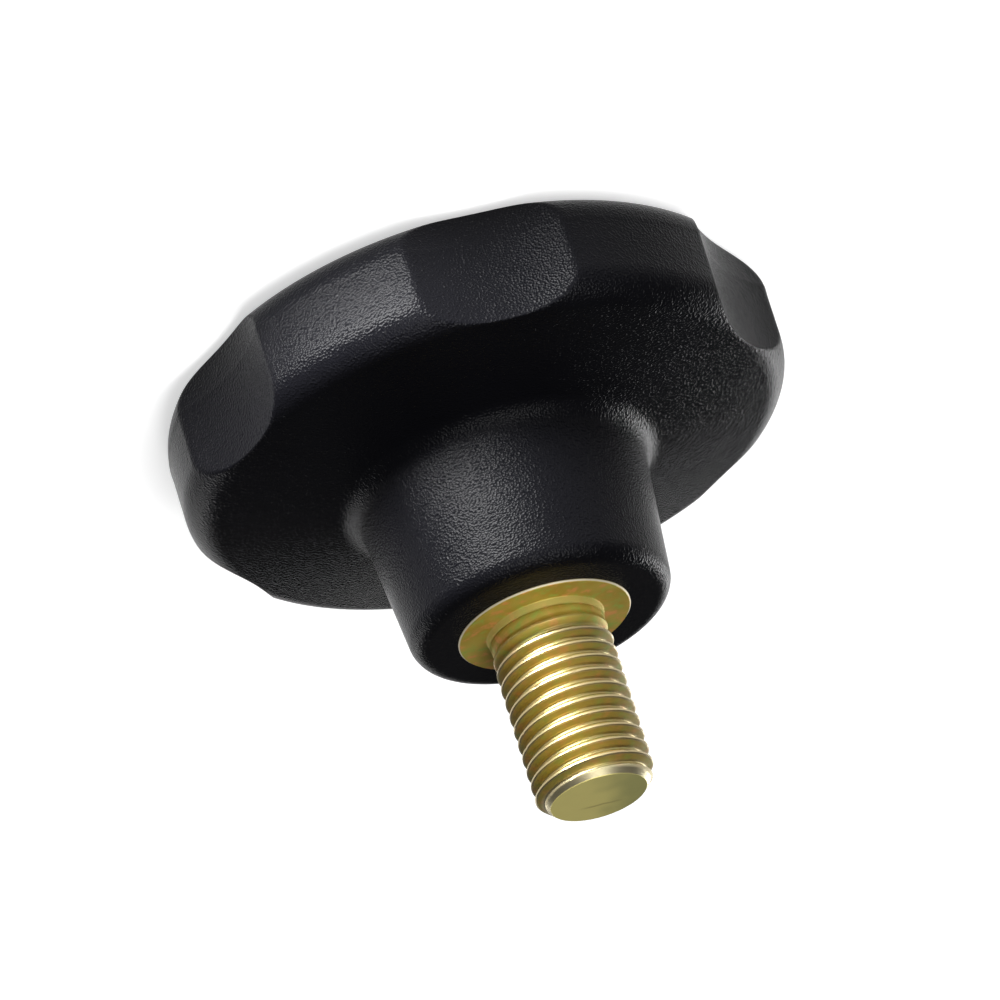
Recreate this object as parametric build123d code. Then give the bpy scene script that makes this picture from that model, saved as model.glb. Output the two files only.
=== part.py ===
from build123d import *

import os
from math import atan, cos, pi, radians, sin, tan

# Lobed hand knob with a moulded-in threaded stud, in millimetres. It stands on its crown,
# with the stud pointing up along +Z and the crown's centre at the origin.

# Head: a disc with finger scallops round its rim
head_diameter = 82.0
crown_land_diameter = 40.0
crown_round = 4.6
parting_height = 6.2
rim_height = 17.0
rim_round = 4.6
wall_draft_angle = 1.0
underside_angle = 10.0

# Scallops, parted at the same height as the rim
scallop_count = 6
scallop_depth = 3.4
scallop_radius = 27.5
scallop_stud_side_draft_angle = 1.0
scallop_crown_side_draft_angle = 3.0
scallop_edge_break = 0.35

# Hub: the boss under the head that carries the stud
hub_end_diameter = 34.6
hub_height = 24.7
hub_draft_angle = 5.7
hub_end_round = 2.5
hub_base_round = 3.4

# Stud: one turned piece with a collar, and an anchor buried in the hub
thread_diameter = 16.0
thread_allowance = 0.2
stud_length = 25.0
tip_chamfer = 1.6
neck_diameter = 15.2
neck_length = 1.2
neck_root_taper = 0.4
collar_diameter = 23.0
collar_thickness = 3.0
collar_proud = 0.3
collar_edge = 0.2
waist_diameter = 14.0
waist_length = 4.0
anchor_across_flats = 18.0
anchor_sides = 6
anchor_length = 12.0

# How far a cutter runs past the faces that it cuts
overrun = 1.0

# Heights and radii that follow from the sizes above
head_radius = head_diameter / 2
land_radius = crown_land_diameter / 2
hub_end_radius = hub_end_diameter / 2
hub_end_height = rim_height + hub_height
collar_face_height = hub_end_height + collar_proud
wall_inset = (rim_height - parting_height) * tan(radians(wall_draft_angle))


def hub_base_corner():
    """Radius and height where the hub's side would meet the conical underside."""
    underside_slope = tan(radians(underside_angle))
    hub_slope = tan(radians(hub_draft_angle))
    rim_radius = head_radius - wall_inset
    drop = hub_height - rim_radius * underside_slope
    radius = (hub_end_radius + drop * hub_slope) / (1 - underside_slope * hub_slope)
    return radius, rim_height + (rim_radius - radius) * underside_slope


def crown_slope_angle():
    """Angle at which the gently domed crown runs into the round at its edge, in radians."""
    return 2 * atan((parting_height - crown_round) / (head_radius - crown_round - land_radius))


def crown_edge():
    """Radius and height where the domed crown runs into the round at its edge."""
    radius = head_radius - crown_round * (1 - sin(crown_slope_angle()))
    return radius, parting_height - crown_round * cos(crown_slope_angle())


def arc_through(start, corner, end):
    """Exact arc that touches the lines from start to corner and from corner to end."""
    half_turn = (Vector(*corner) - Vector(*start)).get_angle(Vector(*end) - Vector(*corner)) / 2
    return Bezier(start, corner, end, weights=[1, cos(radians(half_turn)), 1])


def rounded_run(points, radii):
    """Straight runs from point to point, with an arc of its own radius at each corner between them."""
    last = Vector(*points[0])
    for before, corner, after, radius in zip(points, points[1:], points[2:], radii):
        to_before = (Vector(*before) - Vector(*corner)).normalized()
        to_after = (Vector(*after) - Vector(*corner)).normalized()
        setback = radius / tan(radians(to_before.get_angle(to_after)) / 2)
        start = Vector(*corner) + to_before * setback
        end = Vector(*corner) + to_after * setback
        Line(last, start)
        arc_through(start, corner, end)
        last = end
    Line(last, points[-1])


def turned_head():
    """Head and hub as one turned blank, before the scallops are cut."""
    land_edge = (land_radius, 0)
    crown_corner = (head_radius, parting_height - crown_round * tan((pi / 2 - crown_slope_angle()) / 2))
    parting = (head_radius, parting_height)
    rim_corner = (head_radius - wall_inset, rim_height)
    hub_corner = (hub_end_radius, hub_end_height)
    hub_end = (0, hub_end_height)
    with BuildPart() as blank:
        with BuildSketch(Plane.XZ):
            with BuildLine():
                Line((0, 0), land_edge)
                TangentArc(land_edge, crown_edge(), tangent=(1, 0))
                arc_through(crown_edge(), crown_corner, parting)
                rounded_run([parting, rim_corner, hub_base_corner(), hub_corner, hub_end],
                            [rim_round, hub_base_round, hub_end_round])
                Line(hub_end, (0, 0))
            make_face()
        revolve(axis=Axis.Z)
    return blank.part


def scallop_cutter():
    """Double cone, narrowest at the parting line, that cuts one scallop on the +X side."""
    low = -overrun
    high = hub_end_height
    low_radius = scallop_radius + (parting_height - low) * tan(radians(scallop_crown_side_draft_angle))
    high_radius = scallop_radius + (high - parting_height) * tan(radians(scallop_stud_side_draft_angle))
    axis_distance = head_radius - scallop_depth + scallop_radius
    with BuildPart() as cutter:
        with BuildSketch(Plane.XZ):
            with BuildLine():
                Polyline((0, low), (low_radius, low), (scallop_radius, parting_height),
                         (high_radius, high), (0, high), close=True)
            make_face()
        revolve(axis=Axis.Z)
    return Pos(axis_distance, 0, 0) * cutter.part


def threaded_stud():
    """Shank at the thread's full diameter, neck, collar, waist and hexagonal anchor."""
    shank_radius = (thread_diameter - thread_allowance) / 2
    tip_height = collar_face_height + stud_length
    neck_top = collar_face_height + neck_length
    collar_bottom = collar_face_height - collar_thickness
    waist_bottom = collar_bottom - waist_length
    with BuildPart() as stud:
        with BuildSketch(Plane.XZ):
            with BuildLine():
                Polyline(
                    (0, waist_bottom),
                    (waist_diameter / 2, waist_bottom),
                    (waist_diameter / 2, collar_bottom),
                    (collar_diameter / 2, collar_bottom),
                    (collar_diameter / 2, collar_face_height - collar_edge),
                    (collar_diameter / 2 - collar_edge, collar_face_height),
                    (neck_diameter / 2 + neck_root_taper, collar_face_height),
                    (neck_diameter / 2, collar_face_height + neck_root_taper),
                    (neck_diameter / 2, neck_top),
                    (shank_radius, neck_top),
                    (shank_radius, tip_height - tip_chamfer),
                    (shank_radius - tip_chamfer, tip_height),
                    (0, tip_height),
                    close=True,
                )
            make_face()
        revolve(axis=Axis.Z)
        with BuildSketch(Plane.XY.offset(waist_bottom - anchor_length)):
            RegularPolygon(anchor_across_flats / 2, anchor_sides, major_radius=False)
        extrude(amount=anchor_length)
    return stud.part


def knob_body(stud):
    """Moulded head with its scallops, closed round the stud's collar and anchor."""
    head = turned_head()
    cutter = scallop_cutter()
    pitch_angle = 360 / scallop_count
    for index in range(scallop_count):
        head -= Rot(0, 0, (index + 1 / 2) * pitch_angle) * cutter
    # The borders of the scallops are the head's only free-form edges
    borders = head.edges().filter_by(GeomType.BSPLINE)
    return chamfer(borders, scallop_edge_break) - stud


os.makedirs("parts", exist_ok=True)
stud = threaded_stud()
body = knob_body(stud)
export_step(body, "parts/knob_body.step")
export_step(stud, "parts/threaded_stud.step")
print("knob_body", body.is_valid, round(body.volume), "threaded_stud", stud.is_valid, round(stud.volume))
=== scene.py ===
# %% [markdown]
# # A lobed hand knob with a threaded stud
#
# The object is a black plastic hand knob, 82 mm across, with six finger scallops round its rim. A short
# steel stud with an M16 thread and a yellow passivated finish is moulded into its hub. This lesson dresses
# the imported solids: each one is replaced by a finer mesh of the same size, grown by Geometry Nodes from a
# profile.
#
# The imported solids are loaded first, as a fixed frame. The scene is in metres and in that frame: the knob
# stands on its crown at the origin, and the stud points up along +Z. Profiles are written in millimetres,
# and `mm` turns them into metres.

# %% Load the frame
from math import atan, cos, pi, radians, sin, tan

import bpy
from mathutils import Matrix, Vector


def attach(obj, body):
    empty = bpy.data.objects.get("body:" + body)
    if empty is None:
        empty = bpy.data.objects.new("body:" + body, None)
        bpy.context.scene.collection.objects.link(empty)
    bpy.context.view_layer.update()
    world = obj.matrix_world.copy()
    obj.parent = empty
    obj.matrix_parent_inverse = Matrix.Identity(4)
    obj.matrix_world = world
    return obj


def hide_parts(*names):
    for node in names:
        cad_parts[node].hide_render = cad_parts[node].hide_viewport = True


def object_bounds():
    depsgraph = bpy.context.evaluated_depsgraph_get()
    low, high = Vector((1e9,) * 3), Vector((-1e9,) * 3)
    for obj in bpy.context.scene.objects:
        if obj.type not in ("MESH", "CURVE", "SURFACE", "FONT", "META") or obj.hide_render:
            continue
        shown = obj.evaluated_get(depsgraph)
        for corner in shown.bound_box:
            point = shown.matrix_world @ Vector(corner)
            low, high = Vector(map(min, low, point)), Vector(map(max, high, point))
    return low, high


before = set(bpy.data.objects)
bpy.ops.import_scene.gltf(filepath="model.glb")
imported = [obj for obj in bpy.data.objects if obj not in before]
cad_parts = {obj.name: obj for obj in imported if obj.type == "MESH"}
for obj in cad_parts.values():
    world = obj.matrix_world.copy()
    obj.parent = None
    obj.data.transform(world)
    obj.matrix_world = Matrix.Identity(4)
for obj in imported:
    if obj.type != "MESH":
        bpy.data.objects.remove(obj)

solid_low, solid_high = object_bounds()
mm = 0.001
solid_size = [round(v / mm, 2) for v in solid_high - solid_low]
print("solids in the frame:", sorted(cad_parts), "box in mm:", solid_size)

# %% [markdown]
# ## The camera
#
# The photograph looks at the underside of the knob, from about 27 degrees above the plane of its rim, with
# the picture rolled so that the stud points down and to the right. A long lens keeps the ellipses of the rim
# nearly parallel. The camera's place, aim and roll are set directly, because they were worked out from the
# outline.

# %% Camera
camera_data = bpy.data.cameras.new("camera")
camera_data.lens = 180.0
camera_data.sensor_width = 36.0
camera_data.clip_start = 0.05
camera = bpy.data.objects.new("camera", camera_data)
bpy.context.scene.collection.objects.link(camera)
camera_place = Vector((0.1060, -0.5719, 0.3133))
camera_aim = Vector((-0.1620, 0.8798, -0.4468))
camera_roll = radians(162.56)
camera_turn = camera_aim.to_track_quat("-Z", "Y").to_matrix() @ Matrix.Rotation(camera_roll, 3, "Z")
camera.matrix_world = Matrix.Translation(camera_place) @ camera_turn.to_4x4()
bpy.context.scene.camera = camera
bpy.context.scene.view_settings.view_transform = "Standard"
print("camera", round(camera.location.length, 3), "m from the crown's centre")

# %% [markdown]
# ## Reckoning with sockets
#
# Both kinds of node tree need sums. Adding each Math node by hand would bury the idea, so a small class
# wraps an output socket and lets Python's operators add the nodes. Its `node` method adds any other node.

# %% Wires
class Wire:
    """A node's output socket that Python's operators can reckon with."""

    def __init__(self, socket):
        self.socket = socket

    @staticmethod
    def node(tree, kind, sockets=None, out=0, **settings):
        """Add a node: its type and its settings, then the values or links of its sockets."""
        made = tree.nodes.new(kind)
        for setting, value in settings.items():
            setattr(made, setting, value)
        for key, value in (sockets or {}).items():
            if isinstance(value, Wire):
                tree.links.new(value.socket, made.inputs[key])
            else:
                made.inputs[key].default_value = value
        if isinstance(out, tuple):
            return [Wire(made.outputs[key]) for key in out]
        return Wire(made.outputs[out])

    def sum(self, operation, *others):
        """A Math node with this wire as its first value."""
        sockets = dict(enumerate((self, *others)))
        return Wire.node(self.socket.id_data, "ShaderNodeMath", sockets, operation=operation)

    def __add__(self, other):
        return self.sum("ADD", other)

    def __mul__(self, other):
        return self.sum("MULTIPLY", other)

    def __sub__(self, other):
        return self.sum("SUBTRACT", other)

    def __truediv__(self, other):
        return self.sum("DIVIDE", other)

    def __rsub__(self, other):
        return self * -1.0 + other

    def __rtruediv__(self, other):
        return self.sum("POWER", -1.0) * other

    __radd__ = __add__
    __rmul__ = __mul__


def ease(value, start, end):
    """A smooth step from 0 at start to 1 at end."""
    sockets = {"Value": value, "From Min": start, "From Max": end}
    return Wire.node(value.socket.id_data, "ShaderNodeMapRange", sockets, interpolation_type="SMOOTHSTEP")


print("wires reckon with: + - * /, sum, ease")

# %% [markdown]
# ## Black plastic
#
# The knob is a matte black moulding. Its mould was spark-eroded, so the surface is covered with shallow
# craters about 0.3 mm across, which break the highlights into sparkle. They are too fine for geometry, so
# they are a bump: the squared distance in a Voronoi pattern is a field of little bowls. A broad noise makes
# the sheen uneven, as handling does. The plastic mirrors very little, so the white floor doesn't turn it
# grey.

# %% Black plastic
def new_material(name):
    """A material with an empty tree, its Principled BSDF and its Object coordinates."""
    material = bpy.data.materials.new(name)
    material.use_nodes = True
    tree = material.node_tree
    tree.nodes.clear()
    shader = tree.nodes.new("ShaderNodeBsdfPrincipled")
    output = tree.nodes.new("ShaderNodeOutputMaterial")
    tree.links.new(shader.outputs["BSDF"], output.inputs["Surface"])
    return material, tree, shader, Wire.node(tree, "ShaderNodeTexCoord", out="Object")


def noise(tree, place, size, detail=2.0):
    """Noise whose features are about size metres across."""
    sockets = {"Vector": place, "Scale": 1.0 / size, "Detail": detail}
    return Wire.node(tree, "ShaderNodeTexNoise", sockets, out="Fac")


def blend(tree, factor, first, second):
    """A colour between two colours or colour wires."""
    first, second = [c if isinstance(c, Wire) else (*c, 1.0) for c in (first, second)]
    return Wire.node(tree, "ShaderNodeMix", {0: factor, 6: first, 7: second}, out=2, data_type="RGBA")


def feed(tree, wire, shader, socket):
    """Link a wire to one of the shader's sockets."""
    tree.links.new(wire.socket, shader.inputs[socket])


crater_size = 0.29 * mm
crater_depth = 0.08 * mm
handling_size = 14 * mm
clean_black = (0.0020, 0.0020, 0.0027)
handled_black = (0.0036, 0.0036, 0.0046)
plastic, tree, shader, place = new_material("black_plastic")
cells = {"Vector": place, "Scale": 1.0 / crater_size}
crater = Wire.node(tree, "ShaderNodeTexVoronoi", cells, out="Distance")
handling = noise(tree, place, handling_size, detail=3.0)
feed(tree, blend(tree, handling, clean_black, handled_black), shader, "Base Color")
feed(tree, 0.20 + 0.06 * handling, shader, "Roughness")
bowls = {"Strength": 1.0, "Distance": crater_depth, "Height": crater * crater}
feed(tree, Wire.node(tree, "ShaderNodeBump", bowls, out="Normal"), shader, "Normal")
shader.inputs["Specular IOR Level"].default_value = 0.05
print("material", plastic.name)

# %% [markdown]
# ## The knob's profile
#
# Head and hub are turned forms, so one profile says everything but the scallops. It runs from the middle of
# the crown, round the rim and up the hub, and then down into the pocket that holds the stud. Corners are
# rounded with arcs. Points that belong to the hexagonal pocket are marked, because their radius changes
# round the turn. The head is a little smaller than the solid's, to leave room for the witness line.

# %% The knob's profile
head_radius = 40.86
land_radius = 20.0
crown_round = 4.6
parting_height = 6.2
rim_height = 17.0
rim_round = 4.6
wall_draft = radians(1.0)
underside_slope = tan(radians(10.0))
hub_end_radius = 17.3
hub_end_height = 41.7
hub_slope = tan(radians(5.7))
hub_end_round = 2.5
hub_base_round = 3.4
collar_radius = 11.5
collar_base_height = 39.0
waist_radius = 7.0
waist_base_height = 35.0
anchor_flat_radius = 9.0
anchor_base_height = 23.0
land_steps = 4
dome_steps = 18
round_steps = 26
wall_steps = 16
underside_steps = 18
hub_steps = 10


def run(start, end, steps):
    """Evenly spaced points on a straight run, without its end."""
    return [Vector(start).lerp(Vector(end), i / steps) for i in range(steps)]


def arc(centre, radius, first, last, steps):
    """Points on an arc between two angles, without its end."""
    angles = [first + (last - first) * i / steps for i in range(steps)]
    return [Vector(centre) + radius * Vector((cos(a), sin(a))) for a in angles]


def rounded(before, corner, after, radius, steps):
    """Points of the arc that rounds a corner, from tangent to tangent."""
    corner = Vector(corner)
    back = (Vector(before) - corner).normalized()
    ahead = (Vector(after) - corner).normalized()
    half = back.angle(ahead) / 2
    turn = pi - 2 * half
    centre = corner + (back + ahead).normalized() * radius / sin(half)
    start, end = (corner + side * radius / tan(half) - centre for side in (back, ahead))
    shares = [i / steps for i in range(steps + 1)]
    return [centre + (start * sin((1 - t) * turn) + end * sin(t * turn)) / sin(turn) for t in shares]


rim_radius = head_radius - (rim_height - parting_height) * tan(wall_draft)
rise = hub_end_height - rim_height - rim_radius * underside_slope
base_radius = (hub_end_radius + rise * hub_slope) / (1 - underside_slope * hub_slope)
parting = (head_radius, parting_height)
rim_corner = (rim_radius, rim_height)
hub_base = (base_radius, rim_height + (rim_radius - base_radius) * underside_slope)
hub_end = (hub_end_radius, hub_end_height)
collar_mouth = (collar_radius, hub_end_height)

dome_angle = 2 * atan((parting_height - crown_round) / (head_radius - crown_round - land_radius))
dome_radius = (head_radius - crown_round * (1 - sin(dome_angle)) - land_radius) / sin(dome_angle)
rim_arc = rounded(parting, rim_corner, hub_base, rim_round, round_steps)
base_arc = rounded(rim_corner, hub_base, hub_end, hub_base_round, hub_steps)
end_arc = rounded(hub_base, hub_end, collar_mouth, hub_end_round, hub_steps)
dome_end = dome_angle - pi / 2
round_centre = (head_radius - crown_round, parting_height)
profile = run((0, 0), (land_radius, 0), land_steps)
profile += arc((land_radius, dome_radius), dome_radius, -pi / 2, dome_end, dome_steps)
profile += arc(round_centre, crown_round, dome_end, 0, round_steps)
profile += run(parting, rim_arc[0], wall_steps)
profile += rim_arc
profile += run(rim_arc[-1], base_arc[0], underside_steps)[1:]
profile += base_arc
profile += run(base_arc[-1], end_arc[0], hub_steps)[1:]
profile += end_arc
profile += [Vector(collar_mouth), Vector((collar_radius, collar_base_height))]
profile += [Vector((waist_radius, collar_base_height)), Vector((waist_radius, waist_base_height))]
pocket = [
    Vector((anchor_flat_radius, waist_base_height)),
    Vector((anchor_flat_radius, anchor_base_height)),
    Vector((0, anchor_base_height)),
]


def profile_object(name, points, flat_points):
    """An object whose mesh is a profile in the XZ plane, with the points on flats marked."""
    corners = [(p.x * mm, 0.0, p.y * mm) for p in points + flat_points]
    mesh = bpy.data.meshes.new(name)
    mesh.from_pydata(corners, [(i, i + 1) for i in range(len(corners) - 1)], [])
    marks = mesh.attributes.new("flats", "FLOAT", "POINT")
    marks.data.foreach_set("value", [0.0] * len(points) + [1.0] * len(flat_points))
    made = bpy.data.objects.new(name, mesh)
    bpy.context.scene.collection.objects.link(made)
    return made


knob = profile_object("knob_moulding", profile, pocket)
print("knob profile", len(knob.data.vertices), "points, hub's foot at radius", round(base_radius, 2))

# %% [markdown]
# ## The knob's shape
#
# The profile is swung round the axis as a fine grid, and each scallop limits how far out the grid may
# reach. A scallop is a large drafted cylinder, narrowest at the parting line, so its reach in any direction
# has a plain formula. A smooth minimum of the two gives the slightly rolled edge of a moulding. Booleans
# would do too, but they leave long thin faces where the grain would show seams. The columns are spread so
# that one lies on each scallop's edge. A thin witness line follows the parting.

# %% Swinging a profile with Geometry Nodes
weld_distance = 0.0003 * mm
sharp_angle = radians(40)


def node_tree(name, inputs):
    """A Geometry Nodes tree with named inputs: the tree and a wire for each input."""
    tree = bpy.data.node_groups.new(name, "GeometryNodeTree")
    tree.interface.new_socket("Geometry", in_out="OUTPUT", socket_type="NodeSocketGeometry")
    for label, kind in inputs.items():
        tree.interface.new_socket(label, in_out="INPUT", socket_type="NodeSocket" + kind)
    source = tree.nodes.new("NodeGroupInput")
    return tree, {label: Wire(source.outputs[label]) for label in inputs}


def close_tree(tree, shape, material):
    """Weld the shape, smooth it, realize it, give it its material and send it to the tree's output."""
    weld = {"Geometry": shape, "Distance": weld_distance}
    shape = Wire.node(tree, "GeometryNodeMergeByDistance", weld)
    shape = Wire.node(tree, "GeometryNodeSetShadeSmooth", {"Geometry": shape})
    shape = Wire.node(tree, "GeometryNodeRealizeInstances", {"Geometry": shape})
    shape = Wire.node(tree, "GeometryNodeSetMaterial", {"Geometry": shape, "Material": material})
    output = tree.nodes.new("NodeGroupOutput")
    tree.links.new(shape.socket, output.inputs[0])


def swung_grid(tree, profile, columns):
    """A grid with a row for each profile point: its mesh, column number, radius, height and flat mark."""
    rows = Wire.node(tree, "GeometryNodeAttributeDomainSize", {"Geometry": profile}, out="Point Count")
    sizes = {"Size X": 1.0, "Size Y": 1.0, "Vertices X": columns + 1.0, "Vertices Y": rows}
    grid = Wire.node(tree, "GeometryNodeMeshGrid", sizes)
    spot = Wire.node(tree, "GeometryNodeInputPosition")
    across, along = Wire.node(tree, "ShaderNodeSeparateXYZ", {0: spot}, out=(0, 1))
    column = ((across + 0.5) * columns).sum("ROUND")
    row = ((along + 0.5) * (rows - 1.0)).sum("ROUND")
    read = {"Geometry": profile, "Value": spot, "Index": row}
    point = Wire.node(tree, "GeometryNodeSampleIndex", read, data_type="FLOAT_VECTOR")
    radius, height = Wire.node(tree, "ShaderNodeSeparateXYZ", {0: point}, out=(0, 2))
    mark = Wire.node(tree, "GeometryNodeInputNamedAttribute", {"Name": "flats"}, data_type="FLOAT")
    read = {"Geometry": profile, "Value": mark, "Index": row}
    flats = Wire.node(tree, "GeometryNodeSampleIndex", read)
    return grid, column, radius, height, flats


def put(tree, grid, angle, radius, height):
    """Move the grid's points to an angle, radius and height."""
    spot = {0: radius * angle.sum("COSINE"), 1: radius * angle.sum("SINE"), 2: height}
    spot = Wire.node(tree, "ShaderNodeCombineXYZ", spot)
    return Wire.node(tree, "GeometryNodeSetPosition", {"Geometry": grid, "Position": spot})


def grow(piece, tree, values):
    """Give a piece its tree, set the tree's inputs by identifier, and keep the result as a plain mesh."""
    modifier = piece.modifiers.new(tree.name, "NODES")
    modifier.node_group = tree
    for item in tree.interface.items_tree:
        if item.in_out == "INPUT" and item.name in values:
            modifier[item.identifier] = values[item.name]
    grown = piece.evaluated_get(bpy.context.evaluated_depsgraph_get())
    mesh = bpy.data.meshes.new_from_object(grown)
    piece.modifiers.clear()
    piece.data = mesh
    mesh.set_sharp_from_angle(angle=sharp_angle)
    triangles = sum(len(face.vertices) - 2 for face in mesh.polygons)
    print(piece.name, len(mesh.vertices), "points,", triangles, "triangles")


# %% The knob's tree
scallop_count = 6
scallop_depth = 3.4
scallop_radius = 27.5
scallop_half_degrees = 14.73
solid_head_radius = 41.0
scallop_axis = solid_head_radius - scallop_depth + scallop_radius
witness_fade_start = 30.0 * mm
witness_fade_end = 34.0 * mm

tree, given = node_tree("Scalloped knob", {
    "Profile": "Geometry",
    "Columns per lobe": "Int",
    "Lobes": "Int",
    "Scallop radius": "Float",
    "Scallop axis": "Float",
    "Crown draft": "Float",
    "Stud draft": "Float",
    "Parting height": "Float",
    "Edge softness": "Float",
    "Witness height": "Float",
    "Witness width": "Float",
    "Edge slack": "Float",
    "Material": "Material",
})
columns = given["Columns per lobe"] * given["Lobes"]
grid, column, radius, height, flats = swung_grid(tree, given["Profile"], columns)
pitch = 2 * pi / given["Lobes"]
share = column / given["Columns per lobe"]
slack = given["Edge slack"] * (1.0 - (share.sum("FRACT") * 2.0 - 1.0).sum("ABSOLUTE"))
angle = share * pitch - slack + given["Edge slack"] * 0.5 + pitch * 0.25
offset = (angle - pitch * 0.5).sum("WRAP", pitch * 0.5, pitch * -0.5)
above = height - given["Parting height"]
stud_side = above.sum("MAXIMUM", 0.0) * given["Stud draft"]
crown_side = above.sum("MINIMUM", 0.0) * given["Crown draft"]
cutter = given["Scallop radius"] + (stud_side - crown_side)
aside = given["Scallop axis"] * offset.sum("SINE")
room = (cutter * cutter - aside * aside).sum("MAXIMUM", 0.0)
reach = given["Scallop axis"] * offset.sum("COSINE") - room.sum("SQRT")
radius = radius.sum("SMOOTH_MIN", reach, given["Edge softness"])
closeness = (1.0 - above.sum("ABSOLUTE") / given["Witness width"]).sum("MAXIMUM", 0.0)
outside = ease(radius, witness_fade_start, witness_fade_end)
radius = radius + given["Witness height"] * closeness * outside
radius = radius * (1.0 + flats * (1.0 / offset.sum("COSINE") - 1.0))
close_tree(tree, put(tree, grid, angle, radius, height), given["Material"])

grow(knob, tree, {
    "Columns per lobe": 96,
    "Lobes": scallop_count,
    "Scallop radius": scallop_radius * mm,
    "Scallop axis": scallop_axis * mm,
    "Crown draft": tan(radians(3.0)),
    "Stud draft": tan(radians(1.0)),
    "Parting height": parting_height * mm,
    "Edge softness": 0.35 * mm,
    "Witness height": 0.05 * mm,
    "Witness width": 0.25 * mm,
    "Edge slack": radians(180 / scallop_count - 2 * scallop_half_degrees),
    "Material": plastic,
})
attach(knob, "root")
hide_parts("knob_body")

# %% [markdown]
# ## Yellow zinc
#
# The stud is zinc-plated steel with a yellow passivation: a thin film that shifts from gold to olive, pink
# and green. The tint follows a few soft noises of different sizes. The threaded length is darker: partly the
# film's own tone, partly painted shade in the thread's grooves. The thread was rolled, so its crests and
# roots are smooth and mirror, and its flanks are duller. The film is worn thin on the crests, which are
# paler. The collar's rim and the chamfer at the tip are painted paler: painted highlights. The end face was
# sheared before plating: it is matte, with a short scar, and it is painted lighter on one side and darker on
# the other, a painted shade. Most of these zones are smooth steps on the distance from the axis or on the
# height.

# %% Yellow zinc
def zone(value, start, end):
    """A smooth step from 0 to 1 between two lengths in millimetres."""
    return ease(value, start * mm, end * mm)


deep_gold = (0.38, 0.27, 0.035)
light_gold = (0.44, 0.34, 0.06)
pink = (0.60, 0.29, 0.08)
green = (0.31, 0.37, 0.06)
olive_and_thread_shade = (0.12, 0.09, 0.02)
lemon = (0.66, 0.58, 0.18)
worn_film = (0.42, 0.345, 0.20)
painted_chamfer_highlight = (0.70, 0.65, 0.46)
painted_rim_highlight = (0.66, 0.60, 0.45)
shaded_end = (0.39, 0.37, 0.135)
painted_lit_end = (0.68, 0.60, 0.21)
scar_brown = (0.22, 0.17, 0.06)

zinc, tree, shader, place = new_material("yellow_zinc")
x, y, z = Wire.node(tree, "ShaderNodeSeparateXYZ", {0: place}, out=(0, 1, 2))
from_axis = (x * x + y * y).sum("SQRT")
# The collar's rim: where a highlight is painted.
rim = zone(from_axis, 11.31, 11.42) * zone(z, 41.70, 41.76)
end_face = zone(z, 66.90, 66.98)
# The chamfer at the tip: where a highlight is painted.
chamfer = zone(z, 65.7, 66.1) * (1.0 - end_face)
threaded = zone(z, 43.5, 47.0) * (1.0 - end_face)
crest = zone(from_axis, 7.60, 7.80) * threaded
root = zone(from_axis, 7.10, 6.90) * threaded
smooth = crest + root
above_collar = zone(z, 42.04, 42.16)
neck = above_collar * zone(z, 43.00, 42.90)
across_scar = (y + 0.8 * mm * noise(tree, place, 2 * mm) - 2.65 * mm).sum("ABSOLUTE")
along_scar = (x + 0.6 * mm).sum("ABSOLUTE")
scar = zone(across_scar, 0.40, 0.02) * zone(along_scar, 3.4, 1.0)
cloud = noise(tree, place, 5 * mm)
fleck = noise(tree, place, 1.6 * mm, detail=3.0)
pit = noise(tree, place, 0.12 * mm)
film_and_thread_shade = blend(tree, ease(cloud, 0.35, 0.65), deep_gold, light_gold)
film_and_thread_shade = blend(tree, ease(fleck, 0.52, 0.72), film_and_thread_shade, pink)
film_and_thread_shade = blend(tree, ease(fleck, 0.48, 0.28), film_and_thread_shade, green)
# Painted shade: the threaded length is blended towards a dark olive, partly the film's own tone and partly
# shade in the thread's grooves.
film_and_thread_shade = blend(tree, threaded * 0.62, film_and_thread_shade, olive_and_thread_shade)
film_and_thread_shade = blend(tree, neck * 0.6, film_and_thread_shade, lemon)
wear_and_painted_light = blend(tree, 0.65 * crest + 0.35 * root, film_and_thread_shade, worn_film)
# Painted shade: the end face is lighter on one side and darker on the other.
painted_end_shade = blend(tree, zone(x + 6 * mm * cloud, -2, 4), shaded_end, painted_lit_end)
# Painted highlight: the chamfer at the tip is blended towards pale zinc.
wear_and_painted_light = blend(tree, chamfer * 0.45, wear_and_painted_light, painted_chamfer_highlight)
wear_and_painted_light = blend(tree, end_face, wear_and_painted_light, painted_end_shade)
# Painted highlight: the collar's rim is painted pale cream.
wear_and_painted_light = blend(tree, rim, wear_and_painted_light, painted_rim_highlight)
feed(tree, blend(tree, scar * end_face * 0.5, wear_and_painted_light, scar_brown), shader, "Base Color")
polish = 0.20 * smooth + 0.03 * above_collar * (1.0 - end_face)
feed(tree, 0.51 + 0.12 * fleck + 0.08 * pit - polish, shader, "Roughness")
rough = pit + 1.5 * end_face * noise(tree, place, 0.5 * mm, detail=3.0)
grain = {"Strength": 0.3, "Distance": 0.02 * mm, "Height": rough}
feed(tree, Wire.node(tree, "ShaderNodeBump", grain, out="Normal"), shader, "Normal")
feed(tree, 0.55 + 0.40 * smooth, shader, "Metallic")
feed(tree, 0.25 * crest, shader, "Coat Weight")
shader.inputs["Coat Roughness"].default_value = 0.12
shader.inputs["Coat IOR"].default_value = 1.7
print("material", zinc.name)

# %% [markdown]
# ## The threaded stud
#
# The stud is one turned piece. Its collar, waist and hexagonal anchor are swung from a profile like the
# knob's. The thread is a grid whose rows follow the helix, so that every crest and root lies on a row and
# stays crisp. A screw modifier would also make a thread, but not its run-out into the neck or the chamfer at
# the tip, which are sums on the height here. Its flanks stand at 60 degrees to each other, its crests are
# narrow and its roots are rounded. A seeded noise puts a few nicks in the crests.

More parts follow.
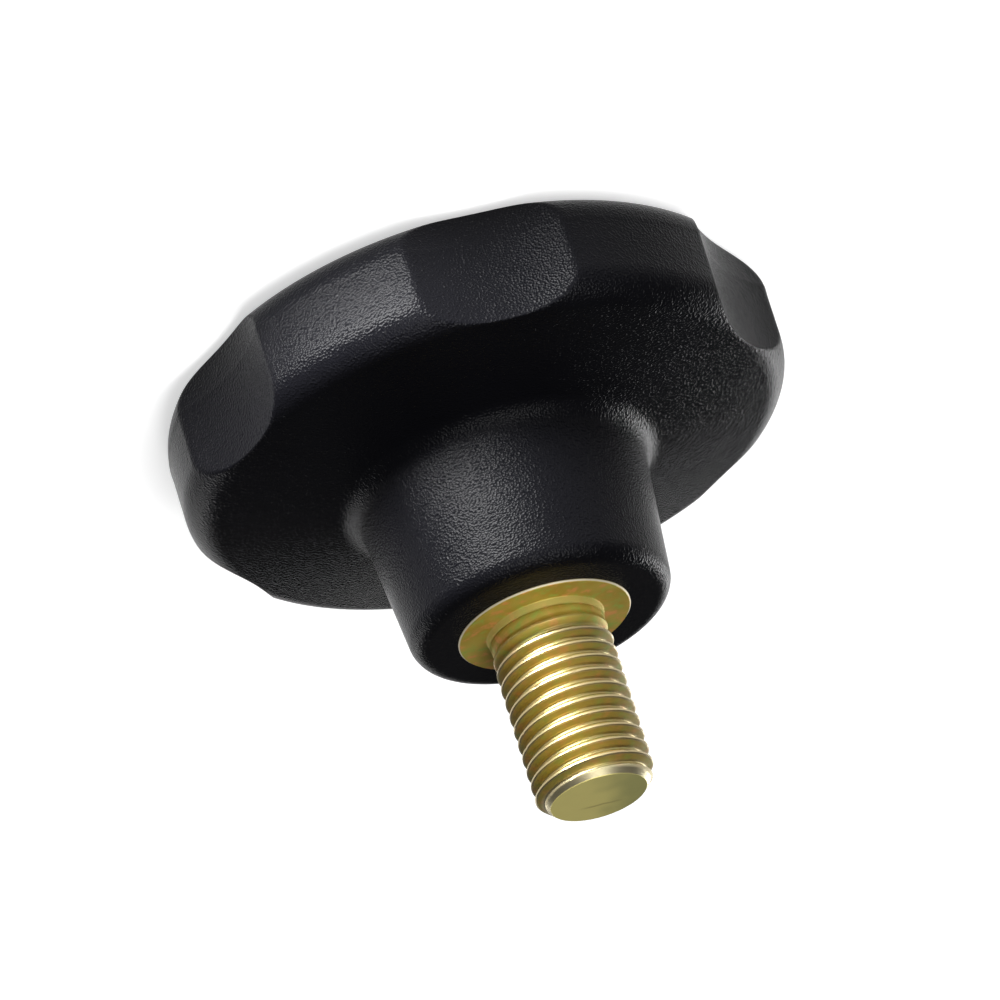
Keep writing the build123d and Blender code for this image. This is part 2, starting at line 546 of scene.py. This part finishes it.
# %% The stud's profile
collar_face_height = 42.0
collar_edge = 0.2
neck_radius = 7.6
neck_root = 0.4
neck_top_height = 43.2
groove_height = 42.98
groove_depth = 0.14
groove_bevel = 0.08
ring_stand = 0.10
root_arc_radius = neck_root / 2
root_arc_centre = (neck_radius + neck_root, collar_face_height + root_arc_radius)
root_arc_steps = 4
turned = [
    Vector((waist_radius, waist_base_height)),
    Vector((waist_radius, collar_base_height)),
    Vector((collar_radius, collar_base_height)),
    Vector((collar_radius, collar_face_height - collar_edge)),
    Vector((collar_radius - collar_edge, collar_face_height)),
    *arc(root_arc_centre, root_arc_radius, -pi / 2, -pi, root_arc_steps),
    Vector((neck_radius + root_arc_radius, collar_face_height + root_arc_radius)),
    Vector((neck_radius + ring_stand, groove_height - groove_bevel)),
    Vector((neck_radius - groove_depth, groove_height)),
    Vector((neck_radius - groove_depth, groove_height + groove_bevel)),
    Vector((neck_radius, groove_height + 2 * groove_bevel)),
    Vector((neck_radius, neck_top_height)),
]
stud = profile_object("stud_turning", turned[::-1], pocket)

# %% The stud's tree
crest_radius = 7.9
thread_pitch = 2.0
tip_height = 67.0
tip_chamfer = 1.6
rows_per_pitch = 32
helix_start = 41.29
helix_turns = 14
half_flat_angle = pi / 6
flank_slope = tan(radians(60))
root_round = 0.18 * mm
tip_round = 0.12 * mm
nick_scale = 9.0
nick_start = 0.62
nick_full = 0.74

tree, given = node_tree("Threaded stud", {
    "Profile": "Geometry",
    "Columns": "Int",
    "Rows per pitch": "Int",
    "Turns": "Int",
    "Pitch": "Float",
    "Helix start": "Float",
    "Neck top": "Float",
    "Tip": "Float",
    "Neck radius": "Float",
    "Crest radius": "Float",
    "Thread depth": "Float",
    "Crest half width": "Float",
    "Run-out": "Float",
    "Chamfer": "Float",
    "Nick depth": "Float",
    "Seed": "Float",
    "Material": "Material",
})
grid, column, radius, height, flats = swung_grid(tree, given["Profile"], given["Columns"])
angle = column / given["Columns"] * (2 * pi)
offset = (angle - half_flat_angle).sum("WRAP", half_flat_angle, -half_flat_angle)
radius = radius * (1.0 + flats * (1.0 / offset.sum("COSINE") - 1.0))
base = Wire.node(tree, "GeometryNodeFlipFaces", {"Mesh": put(tree, grid, angle, radius, height)})

rows = given["Rows per pitch"] * given["Turns"]
sizes = {"Size X": 1.0, "Size Y": 1.0, "Vertices Y": rows + 1.0}
sizes["Vertices X"] = given["Columns"] + 1.0
helix = Wire.node(tree, "GeometryNodeMeshGrid", sizes)
spot = Wire.node(tree, "GeometryNodeInputPosition")
across, along = Wire.node(tree, "ShaderNodeSeparateXYZ", {0: spot}, out=(0, 1))
angle = ((across + 0.5) * given["Columns"]).sum("ROUND") / given["Columns"] * (2 * pi)
turns = ((along + 0.5) * rows).sum("ROUND") / given["Rows per pitch"]
height = given["Helix start"] + (turns - 1.0 + angle / (2 * pi)) * given["Pitch"]
height = height.sum("MAXIMUM", given["Neck top"]).sum("MINIMUM", given["Tip"])
from_crest = turns.sum("WRAP", 0.5, -0.5).sum("ABSOLUTE") * given["Pitch"]
flank = (from_crest - given["Crest half width"]).sum("MAXIMUM", 0.0) * flank_slope
depth = flank.sum("SMOOTH_MIN", given["Thread depth"], root_round)
around = {0: angle.sum("COSINE"), 1: angle.sum("SINE"), 2: height / given["Crest radius"]}
around = Wire.node(tree, "ShaderNodeCombineXYZ", around)
wear = {"Vector": around, "W": given["Seed"], "Scale": nick_scale}
wear = Wire.node(tree, "ShaderNodeTexNoise", wear, noise_dimensions="4D")
on_crest = ease(from_crest, given["Crest half width"] * 2.0, given["Crest half width"])
nick = ease(wear, nick_start, nick_full) * on_crest
thread = given["Crest radius"] - depth - nick * given["Nick depth"]
formed = ease(height, given["Neck top"], given["Neck top"] + given["Run-out"])
radius = given["Neck radius"] + (thread - given["Neck radius"]) * formed
cone = given["Crest radius"] - given["Chamfer"] + (given["Tip"] - height)
radius = radius.sum("SMOOTH_MIN", cone, tip_round)
helix = put(tree, helix, angle, radius, height)

disc_size = {"Vertices": given["Columns"], "Radius": given["Crest radius"] - given["Chamfer"]}
disc = Wire.node(tree, "GeometryNodeMeshCircle", disc_size, fill_type="TRIANGLE_FAN")
lift = Wire.node(tree, "ShaderNodeCombineXYZ", {2: given["Tip"]})
disc = Wire.node(tree, "GeometryNodeSetPosition", {"Geometry": disc, "Offset": lift})
join = tree.nodes.new("GeometryNodeJoinGeometry")
for part in (base, helix, disc):
    tree.links.new(part.socket, join.inputs[0])
close_tree(tree, Wire(join.outputs[0]), given["Material"])

grow(stud, tree, {
    "Columns": 120,
    "Rows per pitch": rows_per_pitch,
    "Turns": helix_turns,
    "Pitch": thread_pitch * mm,
    "Helix start": helix_start * mm,
    "Neck top": neck_top_height * mm,
    "Tip": tip_height * mm,
    "Neck radius": neck_radius * mm,
    "Crest radius": crest_radius * mm,
    "Thread depth": 1.14 * mm,
    "Crest half width": 0.14 * mm,
    "Run-out": 3.4 * mm,
    "Chamfer": tip_chamfer * mm,
    "Nick depth": 0.10 * mm,
    "Seed": 4.0,
    "Material": zinc,
})
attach(stud, "root")
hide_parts("threaded_stud")

# %% [markdown]
# ## Floor and light
#
# The photograph has a plain white ground. The floor is a pale plane that the camera, mirrors and glass see
# as white, apart from the knob's shadow. The highlights on the wall of the near lobe and on the hub are
# mirrored from below the rim, in front and to the left, so the key is a panel that lies on the floor there,
# face up. A wider and much weaker panel beyond it brightens the thread's crests. A large front panel gives a
# plain level, and two low fills behind the knob draw the round at the hub's foot. The sky is dim, so that
# the underside stays as dark as it is in the picture.

# %% Floor
floor_size = 3.0
floor_drop = 0.02 * mm
floor_glow = 0.60
floor_mesh = bpy.data.meshes.new("floor")
sides = ((-1, -1), (1, -1), (1, 1), (-1, 1))
corners = [(x * floor_size, y * floor_size, -floor_drop) for x, y in sides]
floor_mesh.from_pydata(corners, [], [(0, 1, 2, 3)])
floor = bpy.data.objects.new("floor", floor_mesh)
bpy.context.scene.collection.objects.link(floor)
paper, tree, shader, place = new_material("white_paper")
shader.inputs["Base Color"].default_value = (0.85, 0.85, 0.85, 1.0)
shader.inputs["Roughness"].default_value = 0.9
shader.inputs["Specular IOR Level"].default_value = 0.0
shader.inputs["Emission Color"].default_value = (1.0, 1.0, 1.0, 1.0)
rays = ("Is Camera Ray", "Is Glossy Ray", "Is Transmission Ray")
seen, mirrored, through = Wire.node(tree, "ShaderNodeLightPath", out=rays)
feed(tree, (seen + mirrored + through).sum("MINIMUM", 1.0) * floor_glow, shader, "Emission Strength")
floor_mesh.materials.append(paper)

# %% Light
middle = Vector((0.0, 0.0, 0.02))
panel_lift = 0.6 * mm
panel_turn = radians(14)


def panel(name, at, width, height, watts):
    """A soft rectangular light, turned towards the middle of the knob."""
    lamp = bpy.data.lights.new(name, "AREA")
    lamp.shape = "RECTANGLE"
    lamp.size = width
    lamp.size_y = height
    lamp.energy = watts
    made = bpy.data.objects.new(name, lamp)
    bpy.context.scene.collection.objects.link(made)
    made.location = at
    made.rotation_euler = (middle - Vector(at)).to_track_quat("-Z", "Y").to_euler()
    return made


key = panel("key", (0.049, -0.076, panel_lift), 0.072, 0.050, 0.88)
bounce = panel("bounce", (0.01, -0.140, panel_lift), 0.22, 0.07, 0.10)
for lying in (key, bounce):
    lying.rotation_euler = (pi, 0.0, panel_turn)
    lying.visible_camera = False
panel("front", (-0.07, -0.80, 0.85), 0.56, 0.56, 12.0)
panel("right fill", (-0.40, 0.36, 0.08), 0.3, 0.15, 1.5)
panel("left fill", (0.28, 0.50, 0.08), 0.24, 0.15, 0.4)
world = bpy.data.worlds.new("studio")
bpy.context.scene.world = world
world.use_nodes = True
sky = world.node_tree.nodes["Background"]
sky.inputs["Color"].default_value = (0.10, 0.10, 0.10, 1.0)
